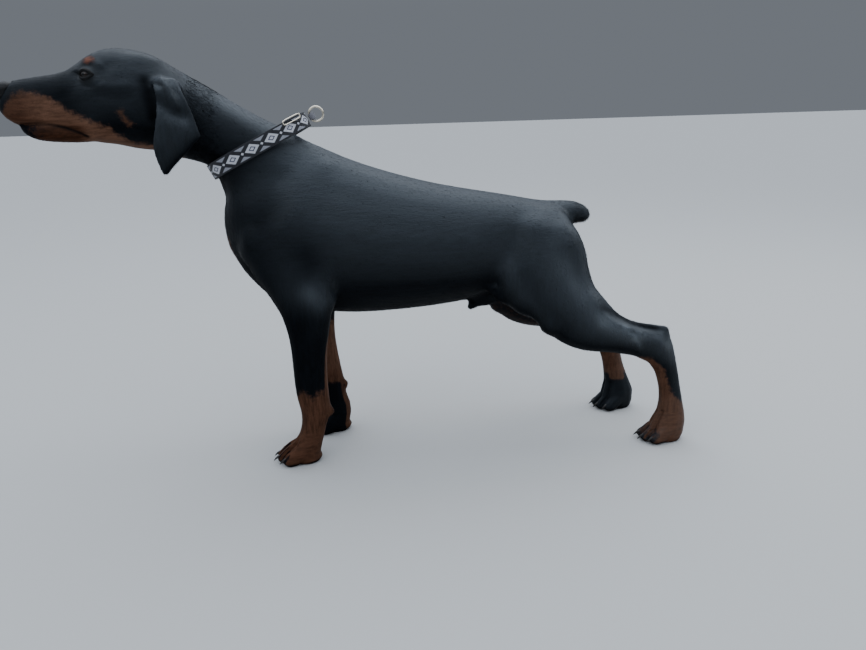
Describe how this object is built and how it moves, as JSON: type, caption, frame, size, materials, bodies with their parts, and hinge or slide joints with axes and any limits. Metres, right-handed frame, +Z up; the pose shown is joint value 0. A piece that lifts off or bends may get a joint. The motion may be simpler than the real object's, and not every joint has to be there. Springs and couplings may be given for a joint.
{
  "type": "doberman pinscher",
  "caption": "Life-size still model of a young male black and rust dog with hanging ears and docked tail, standing stretched out, wearing a patterned webbing collar.",
  "frame": {"origin": "on the floor, at the middle of the model's box in plan", "axes": "the muzzle points to -X and the tail to +X, the dog's left side faces -Y, +Z is up"},
  "size_m": [1.103, 0.23, 0.7059],
  "materials": {
    "coat_black": "short glossy black coat with a blue-grey sheen",
    "coat_rust": "short rust-red coat with black marks on the toes",
    "nose_leather": "moist pebbled black leather",
    "eye": "wet dark brown",
    "claw": "smooth black horn",
    "collar_webbing": "woven black webbing with pale grey diamonds",
    "collar_metal": "polished nickel with a warm tint"
  },
  "bodies": {
    "root": {"head": "coat_black", "lower_jaw": "coat_rust", "nose": "nose_leather", "eye_left": "eye", "eye_right": "eye", "ear_left": "coat_black", "ear_right": "coat_black", "neck": "coat_black", "torso": "coat_black", "tail": "coat_black", "foreleg_left": "coat_black", "foreleg_right": "coat_black", "hindleg_left": "coat_black", "hindleg_right": "coat_black", "forepaw_left": "coat_rust", "forepaw_right": "coat_rust", "hindpaw_left": "coat_rust", "hindpaw_right": "coat_rust", "collar": "collar_webbing", "collar_keeper": "collar_webbing", "collar_ring": "collar_metal"}
  },
  "joints": []
}
